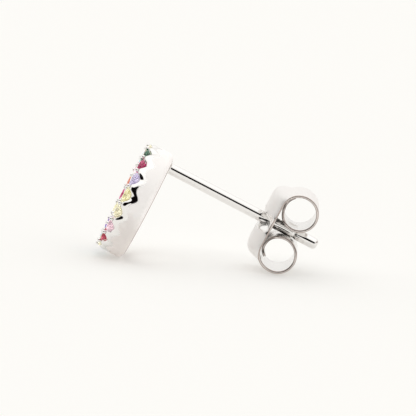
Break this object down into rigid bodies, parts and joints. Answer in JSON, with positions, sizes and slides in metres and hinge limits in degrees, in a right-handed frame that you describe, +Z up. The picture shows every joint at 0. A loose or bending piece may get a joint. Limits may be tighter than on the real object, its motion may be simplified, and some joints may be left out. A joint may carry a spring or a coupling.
{
  "type": "stud earring",
  "caption": "Stud earring: an open silver ring set with round coloured stones in V cuts, on a straight post with a sliding butterfly clutch.",
  "frame": {"origin": "on the surface that the earring lies on, under the middle of its bounding box", "axes": "+Z up from the surface; +X towards the post's tip, along the post as seen from above; the ring's stones face -X"},
  "size_m": [0.0152, 0.008, 0.0079],
  "materials": {
    "satin_silver": "satin silver, with bright-cut notches",
    "polished_silver": "polished silver",
    "stone_coral": "faceted, polished, clear coral",
    "stone_green": "faceted, polished, clear green",
    "stone_magenta": "faceted, polished, clear magenta",
    "stone_lavender": "faceted, polished, clear lavender",
    "stone_yellow": "faceted, polished, clear yellow",
    "stone_champagne": "faceted, polished, clear champagne",
    "stone_pink": "faceted, polished, clear pink",
    "stone_red": "faceted, polished, clear red",
    "stone_blue": "faceted, polished, clear blue",
    "stone_aqua": "faceted, polished, clear aqua",
    "stone_violet": "faceted, polished, clear violet"
  },
  "bodies": {
    "earring": {"ring_setting": "satin_silver", "stone_01": "stone_champagne", "stone_02": "stone_green", "stone_03": "stone_magenta", "stone_04": "stone_lavender", "stone_05": "stone_yellow", "stone_06": "stone_champagne", "stone_07": "stone_pink", "stone_08": "stone_red", "stone_09": "stone_champagne", "stone_10": "stone_aqua", "stone_11": "stone_blue", "stone_12": "stone_violet", "stone_13": "stone_yellow", "stone_14": "stone_magenta", "stone_15": "stone_coral", "stone_16": "stone_pink", "stone_17": "stone_aqua", "stone_18": "stone_lavender"},
    "clutch": {"butterfly_clutch": "polished_silver"}
  },
  "joints": [
    {"name": "clutch_slide", "type": "slide", "parent": "earring", "child": "clutch", "axis": [0.9244, 0, -0.3814], "range_m": [-0.007, 0.004]}
  ]
}
